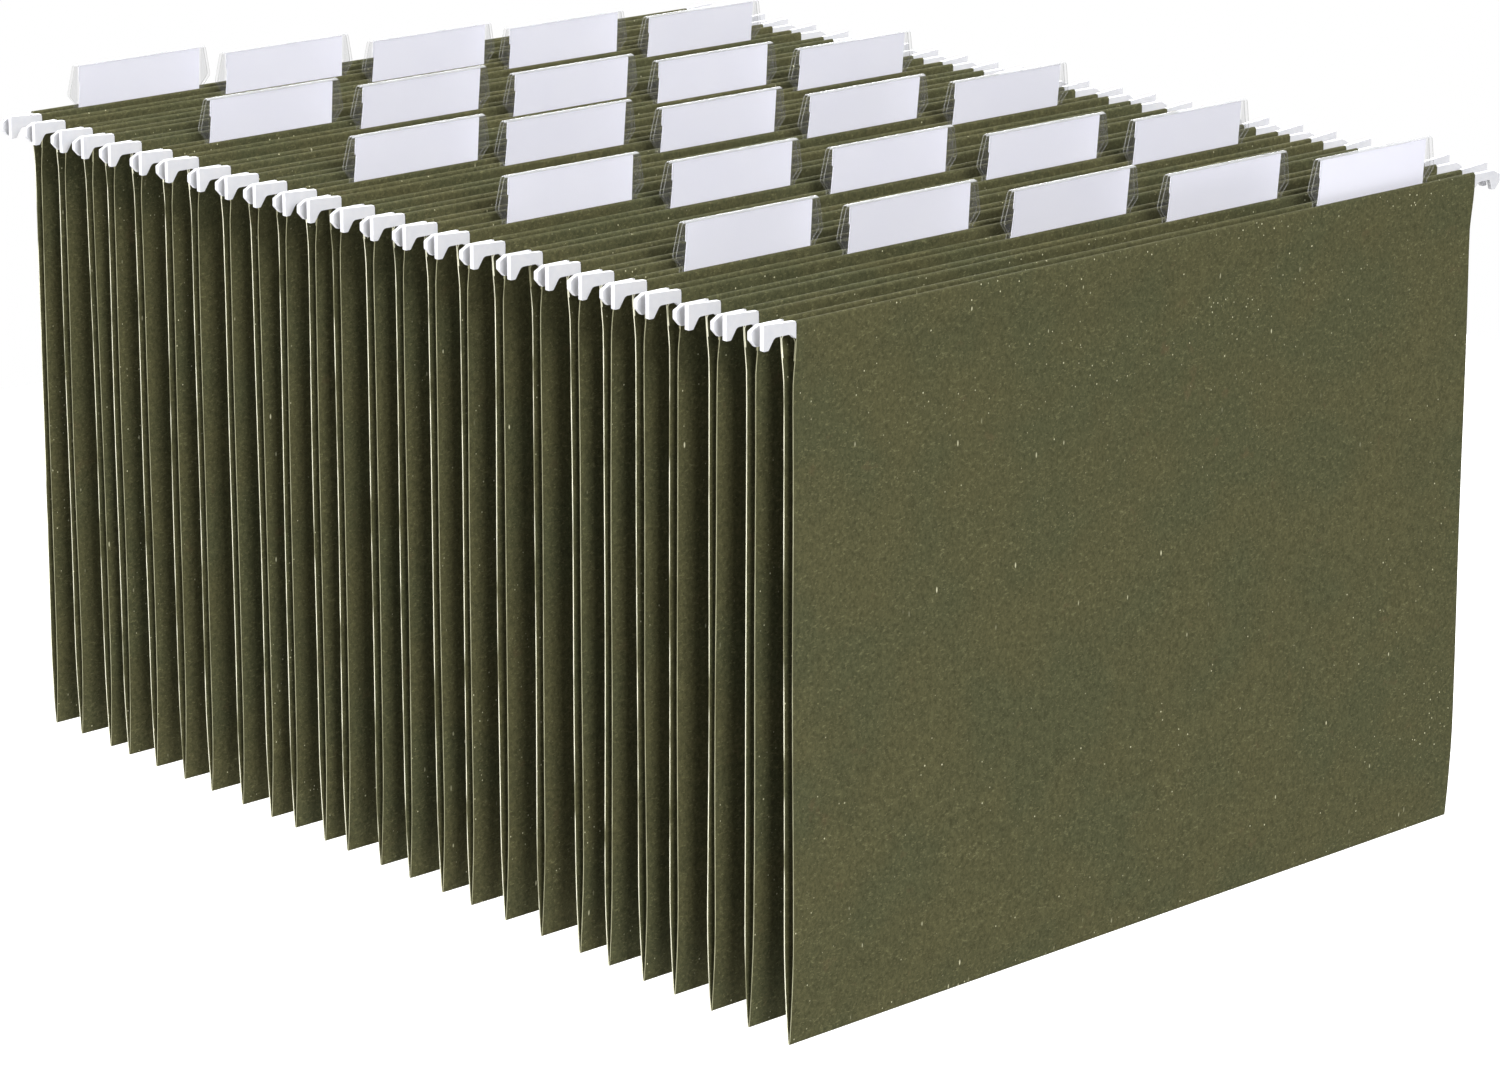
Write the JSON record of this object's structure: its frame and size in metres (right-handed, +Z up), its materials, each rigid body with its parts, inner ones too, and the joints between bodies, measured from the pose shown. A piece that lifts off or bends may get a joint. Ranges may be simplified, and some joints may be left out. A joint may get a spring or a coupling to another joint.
{
  "type": "hanging file folder set",
  "caption": "Row of letter-size hanging file folders: V-folded recycled paper jackets on flat rods with coated rail hooks, and clear tabs with blank inserts.",
  "frame": {"origin": "below the middle of the whole row, at the height of the bottom folds", "axes": "+X along the rods to the right, +Y from the front folder to the rear one, +Z up"},
  "size_m": [0.3238, 0.3936, 0.2379],
  "materials": {
    "paper": "matte",
    "rod": "satin",
    "hook": "satin",
    "tab": "gloss",
    "insert": "matte"
  },
  "bodies": {
    "folder_01_rear_rod_set": {"folder_01_rear_rod": "rod", "folder_01_rear_hook_left": "hook", "folder_01_rear_hook_right": "hook", "folder_01_rear_hem": "paper"},
    "folder_01_rear_panel": {"folder_01_rear_panel": "paper"},
    "folder_01_front_panel": {"folder_01_front_panel": "paper"},
    "folder_01_front_rod_set": {"folder_01_front_rod": "rod", "folder_01_front_hook_left": "hook", "folder_01_front_hook_right": "hook", "folder_01_front_hem": "paper"},
    "folder_01_tab": {"folder_01_tab": "tab"},
    "folder_01_insert": {"folder_01_insert": "insert"},
    "folder_02_jacket": {"folder_02_jacket": "paper"},
    "folder_02_tab": {"folder_02_tab": "tab"},
    "folder_03_jacket": {"folder_03_jacket": "paper"},
    "folder_03_tab": {"folder_03_tab": "tab"},
    "folder_04_jacket": {"folder_04_jacket": "paper"},
    "folder_04_tab": {"folder_04_tab": "tab"},
    "folder_05_jacket": {"folder_05_jacket": "paper"},
    "folder_05_tab": {"folder_05_tab": "tab"},
    "folder_06_jacket": {"folder_06_jacket": "paper"},
    "folder_06_tab": {"folder_06_tab": "tab"},
    "folder_07_jacket": {"folder_07_jacket": "paper"},
    "folder_07_tab": {"folder_07_tab": "tab"},
    "folder_08_jacket": {"folder_08_jacket": "paper"},
    "folder_08_tab": {"folder_08_tab": "tab"},
    "folder_09_jacket": {"folder_09_jacket": "paper"},
    "folder_09_tab": {"folder_09_tab": "tab"},
    "folder_10_jacket": {"folder_10_jacket": "paper"},
    "folder_10_tab": {"folder_10_tab": "tab"},
    "folder_11_jacket": {"folder_11_jacket": "paper"},
    "folder_11_tab": {"folder_11_tab": "tab"},
    "folder_12_jacket": {"folder_12_jacket": "paper"},
    "folder_12_tab": {"folder_12_tab": "tab"},
    "folder_13_jacket": {"folder_13_jacket": "paper"},
    "folder_13_tab": {"folder_13_tab": "tab"},
    "folder_14_jacket": {"folder_14_jacket": "paper"},
    "folder_14_tab": {"folder_14_tab": "tab"},
    "folder_15_jacket": {"folder_15_jacket": "paper"},
    "folder_15_tab": {"folder_15_tab": "tab"},
    "folder_16_jacket": {"folder_16_jacket": "paper"},
    "folder_16_tab": {"folder_16_tab": "tab"},
    "folder_17_jacket": {"folder_17_jacket": "paper"},
    "folder_17_tab": {"folder_17_tab": "tab"},
    "folder_18_jacket": {"folder_18_jacket": "paper"},
    "folder_18_tab": {"folder_18_tab": "tab"},
    "folder_19_jacket": {"folder_19_jacket": "paper"},
    "folder_19_tab": {"folder_19_tab": "tab"},
    "folder_20_jacket": {"folder_20_jacket": "paper"},
    "folder_20_tab": {"folder_20_tab": "tab"},
    "folder_21_jacket": {"folder_21_jacket": "paper"},
    "folder_21_tab": {"folder_21_tab": "tab"},
    "folder_22_jacket": {"folder_22_jacket": "paper"},
    "folder_22_tab": {"folder_22_tab": "tab"},
    "folder_23_jacket": {"folder_23_jacket": "paper"},
    "folder_23_tab": {"folder_23_tab": "tab"},
    "folder_24_jacket": {"folder_24_jacket": "paper"},
    "folder_24_tab": {"folder_24_tab": "tab"},
    "folder_25_jacket": {"folder_25_jacket": "paper"},
    "folder_25_tab": {"folder_25_tab": "tab"}
  },
  "joints": [
    {"name": "folder_01_open", "type": "hinge", "parent": "folder_01_rear_rod_set", "child": "folder_01_rear_panel", "pos_m": [0, -0.1903, 0.2126], "axis": [-1, 0, 0], "range_deg": [0, 10]},
    {"name": "folder_01_fold", "type": "hinge", "parent": "folder_01_rear_panel", "child": "folder_01_front_panel", "pos_m": [0, -0.193, 0], "axis": [-1, 0, 0], "range_deg": [-20, 0]},
    {"name": "folder_01_front_hem_bend", "type": "hinge", "parent": "folder_01_front_panel", "child": "folder_01_front_rod_set", "pos_m": [0, -0.1957, 0.2126], "axis": [-1, 0, 0], "range_deg": [0, 10]},
    {"name": "folder_01_tab_lift", "type": "slide", "parent": "folder_01_front_rod_set", "child": "folder_01_tab", "axis": [0, 0, 1], "range_m": [0, 0.014]},
    {"name": "folder_01_insert_slide", "type": "slide", "parent": "folder_01_tab", "child": "folder_01_insert", "axis": [1, 0, 0], "range_m": [0, 0.054]},
    {"name": "folder_02_rail_slide", "type": "slide", "parent": "folder_01_rear_rod_set", "child": "folder_02_jacket", "axis": [0, 1, 0], "range_m": [-0.008, 0.02]},
    {"name": "folder_02_tab_lift", "type": "slide", "parent": "folder_02_jacket", "child": "folder_02_tab", "axis": [0, 0, 1], "range_m": [0, 0.014]},
    {"name": "folder_03_rail_slide", "type": "slide", "parent": "folder_02_jacket", "child": "folder_03_jacket", "axis": [0, 1, 0], "range_m": [-0.0085, 0.02]},
    {"name": "folder_03_tab_lift", "type": "slide", "parent": "folder_03_jacket", "child": "folder_03_tab", "axis": [0, 0, 1], "range_m": [0, 0.014]},
    {"name": "folder_04_rail_slide", "type": "slide", "parent": "folder_03_jacket", "child": "folder_04_jacket", "axis": [0, 1, 0], "range_m": [-0.0095, 0.02]},
    {"name": "folder_04_tab_lift", "type": "slide", "parent": "folder_04_jacket", "child": "folder_04_tab", "axis": [0, 0, 1], "range_m": [0, 0.014]},
    {"name": "folder_05_rail_slide", "type": "slide", "parent": "folder_04_jacket", "child": "folder_05_jacket", "axis": [0, 1, 0], "range_m": [-0.0075, 0.02]},
    {"name": "folder_05_tab_lift", "type": "slide", "parent": "folder_05_jacket", "child": "folder_05_tab", "axis": [0, 0, 1], "range_m": [0, 0.014]},
    {"name": "folder_06_rail_slide", "type": "slide", "parent": "folder_05_jacket", "child": "folder_06_jacket", "axis": [0, 1, 0], "range_m": [-0.007, 0.02]},
    {"name": "folder_06_tab_lift", "type": "slide", "parent": "folder_06_jacket", "child": "folder_06_tab", "axis": [0, 0, 1], "range_m": [0, 0.014]},
    {"name": "folder_07_rail_slide", "type": "slide", "parent": "folder_06_jacket", "child": "folder_07_jacket", "axis": [0, 1, 0], "range_m": [-0.0075, 0.02]},
    {"name": "folder_07_tab_lift", "type": "slide", "parent": "folder_07_jacket", "child": "folder_07_tab", "axis": [0, 0, 1], "range_m": [0, 0.014]},
    {"name": "folder_08_rail_slide", "type": "slide", "parent": "folder_07_jacket", "child": "folder_08_jacket", "axis": [0, 1, 0], "range_m": [-0.01, 0.02]},
    {"name": "folder_08_tab_lift", "type": "slide", "parent": "folder_08_jacket", "child": "folder_08_tab", "axis": [0, 0, 1], "range_m": [0, 0.014]},
    {"name": "folder_09_rail_slide", "type": "slide", "parent": "folder_08_jacket", "child": "folder_09_jacket", "axis": [0, 1, 0], "range_m": [-0.01, 0.02]},
    {"name": "folder_09_tab_lift", "type": "slide", "parent": "folder_09_jacket", "child": "folder_09_tab", "axis": [0, 0, 1], "range_m": [0, 0.014]},
    {"name": "folder_10_rail_slide", "type": "slide", "parent": "folder_09_jacket", "child": "folder_10_jacket", "axis": [0, 1, 0], "range_m": [-0.0095, 0.02]},
    {"name": "folder_10_tab_lift", "type": "slide", "parent": "folder_10_jacket", "child": "folder_10_tab", "axis": [0, 0, 1], "range_m": [0, 0.014]},
    {"name": "folder_11_rail_slide", "type": "slide", "parent": "folder_10_jacket", "child": "folder_11_jacket", "axis": [0, 1, 0], "range_m": [-0.008, 0.02]},
    {"name": "folder_11_tab_lift", "type": "slide", "parent": "folder_11_jacket", "child": "folder_11_tab", "axis": [0, 0, 1], "range_m": [0, 0.014]},
    {"name": "folder_12_rail_slide", "type": "slide", "parent": "folder_11_jacket", "child": "folder_12_jacket", "axis": [0, 1, 0], "range_m": [-0.0085, 0.02]},
    {"name": "folder_12_tab_lift", "type": "slide", "parent": "folder_12_jacket", "child": "folder_12_tab", "axis": [0, 0, 1], "range_m": [0, 0.014]},
    {"name": "folder_13_rail_slide", "type": "slide", "parent": "folder_12_jacket", "child": "folder_13_jacket", "axis": [0, 1, 0], "range_m": [-0.0075, 0.02]},
    {"name": "folder_13_tab_lift", "type": "slide", "parent": "folder_13_jacket", "child": "folder_13_tab", "axis": [0, 0, 1], "range_m": [0, 0.014]},
    {"name": "folder_14_rail_slide", "type": "slide", "parent": "folder_13_jacket", "child": "folder_14_jacket", "axis": [0, 1, 0], "range_m": [-0.0095, 0.02]},
    {"name": "folder_14_tab_lift", "type": "slide", "parent": "folder_14_jacket", "child": "folder_14_tab", "axis": [0, 0, 1], "range_m": [0, 0.014]},
    {"name": "folder_15_rail_slide", "type": "slide", "parent": "folder_14_jacket", "child": "folder_15_jacket", "axis": [0, 1, 0], "range_m": [-0.005, 0.02]},
    {"name": "folder_15_tab_lift", "type": "slide", "parent": "folder_15_jacket", "child": "folder_15_tab", "axis": [0, 0, 1], "range_m": [0, 0.014]},
    {"name": "folder_16_rail_slide", "type": "slide", "parent": "folder_15_jacket", "child": "folder_16_jacket", "axis": [0, 1, 0], "range_m": [-0.008, 0.02]},
    {"name": "folder_16_tab_lift", "type": "slide", "parent": "folder_16_jacket", "child": "folder_16_tab", "axis": [0, 0, 1], "range_m": [0, 0.014]},
    {"name": "folder_17_rail_slide", "type": "slide", "parent": "folder_16_jacket", "child": "folder_17_jacket", "axis": [0, 1, 0], "range_m": [-0.0075, 0.02]},
    {"name": "folder_17_tab_lift", "type": "slide", "parent": "folder_17_jacket", "child": "folder_17_tab", "axis": [0, 0, 1], "range_m": [0, 0.014]},
    {"name": "folder_18_rail_slide", "type": "slide", "parent": "folder_17_jacket", "child": "folder_18_jacket", "axis": [0, 1, 0], "range_m": [-0.0075, 0.02]},
    {"name": "folder_18_tab_lift", "type": "slide", "parent": "folder_18_jacket", "child": "folder_18_tab", "axis": [0, 0, 1], "range_m": [0, 0.014]},
    {"name": "folder_19_rail_slide", "type": "slide", "parent": "folder_18_jacket", "child": "folder_19_jacket", "axis": [0, 1, 0], "range_m": [-0.01, 0.02]},
    {"name": "folder_19_tab_lift", "type": "slide", "parent": "folder_19_jacket", "child": "folder_19_tab", "axis": [0, 0, 1], "range_m": [0, 0.014]},
    {"name": "folder_20_rail_slide", "type": "slide", "parent": "folder_19_jacket", "child": "folder_20_jacket", "axis": [0, 1, 0], "range_m": [-0.007, 0.02]},
    {"name": "folder_20_tab_lift", "type": "slide", "parent": "folder_20_jacket", "child": "folder_20_tab", "axis": [0, 0, 1], "range_m": [0, 0.014]},
    {"name": "folder_21_rail_slide", "type": "slide", "parent": "folder_20_jacket", "child": "folder_21_jacket", "axis": [0, 1, 0], "range_m": [-0.01, 0.02]},
    {"name": "folder_21_tab_lift", "type": "slide", "parent": "folder_21_jacket", "child": "folder_21_tab", "axis": [0, 0, 1], "range_m": [0, 0.014]},
    {"name": "folder_22_rail_slide", "type": "slide", "parent": "folder_21_jacket", "child": "folder_22_jacket", "axis": [0, 1, 0], "range_m": [-0.008, 0.02]},
    {"name": "folder_22_tab_lift", "type": "slide", "parent": "folder_22_jacket", "child": "folder_22_tab", "axis": [0, 0, 1], "range_m": [0, 0.014]},
    {"name": "folder_23_rail_slide", "type": "slide", "parent": "folder_22_jacket", "child": "folder_23_jacket", "axis": [0, 1, 0], "range_m": [-0.005, 0.02]},
    {"name": "folder_23_tab_lift", "type": "slide", "parent": "folder_23_jacket", "child": "folder_23_tab", "axis": [0, 0, 1], "range_m": [0, 0.014]},
    {"name": "folder_24_rail_slide", "type": "slide", "parent": "folder_23_jacket", "child": "folder_24_jacket", "axis": [0, 1, 0], "range_m": [-0.0085, 0.02]},
    {"name": "folder_24_tab_lift", "type": "slide", "parent": "folder_24_jacket", "child": "folder_24_tab", "axis": [0, 0, 1], "range_m": [0, 0.014]},
    {"name": "folder_25_rail_slide", "type": "slide", "parent": "folder_24_jacket", "child": "folder_25_jacket", "axis": [0, 1, 0], "range_m": [-0.0065, 0.02]},
    {"name": "folder_25_tab_lift", "type": "slide", "parent": "folder_25_jacket", "child": "folder_25_tab", "axis": [0, 0, 1], "range_m": [0, 0.014]}
  ],
  "couplings": [
    {"joint": "folder_01_fold", "follows": "folder_01_open", "ratio": -2},
    {"joint": "folder_01_front_hem_bend", "follows": "folder_01_open", "ratio": 1}
  ]
}
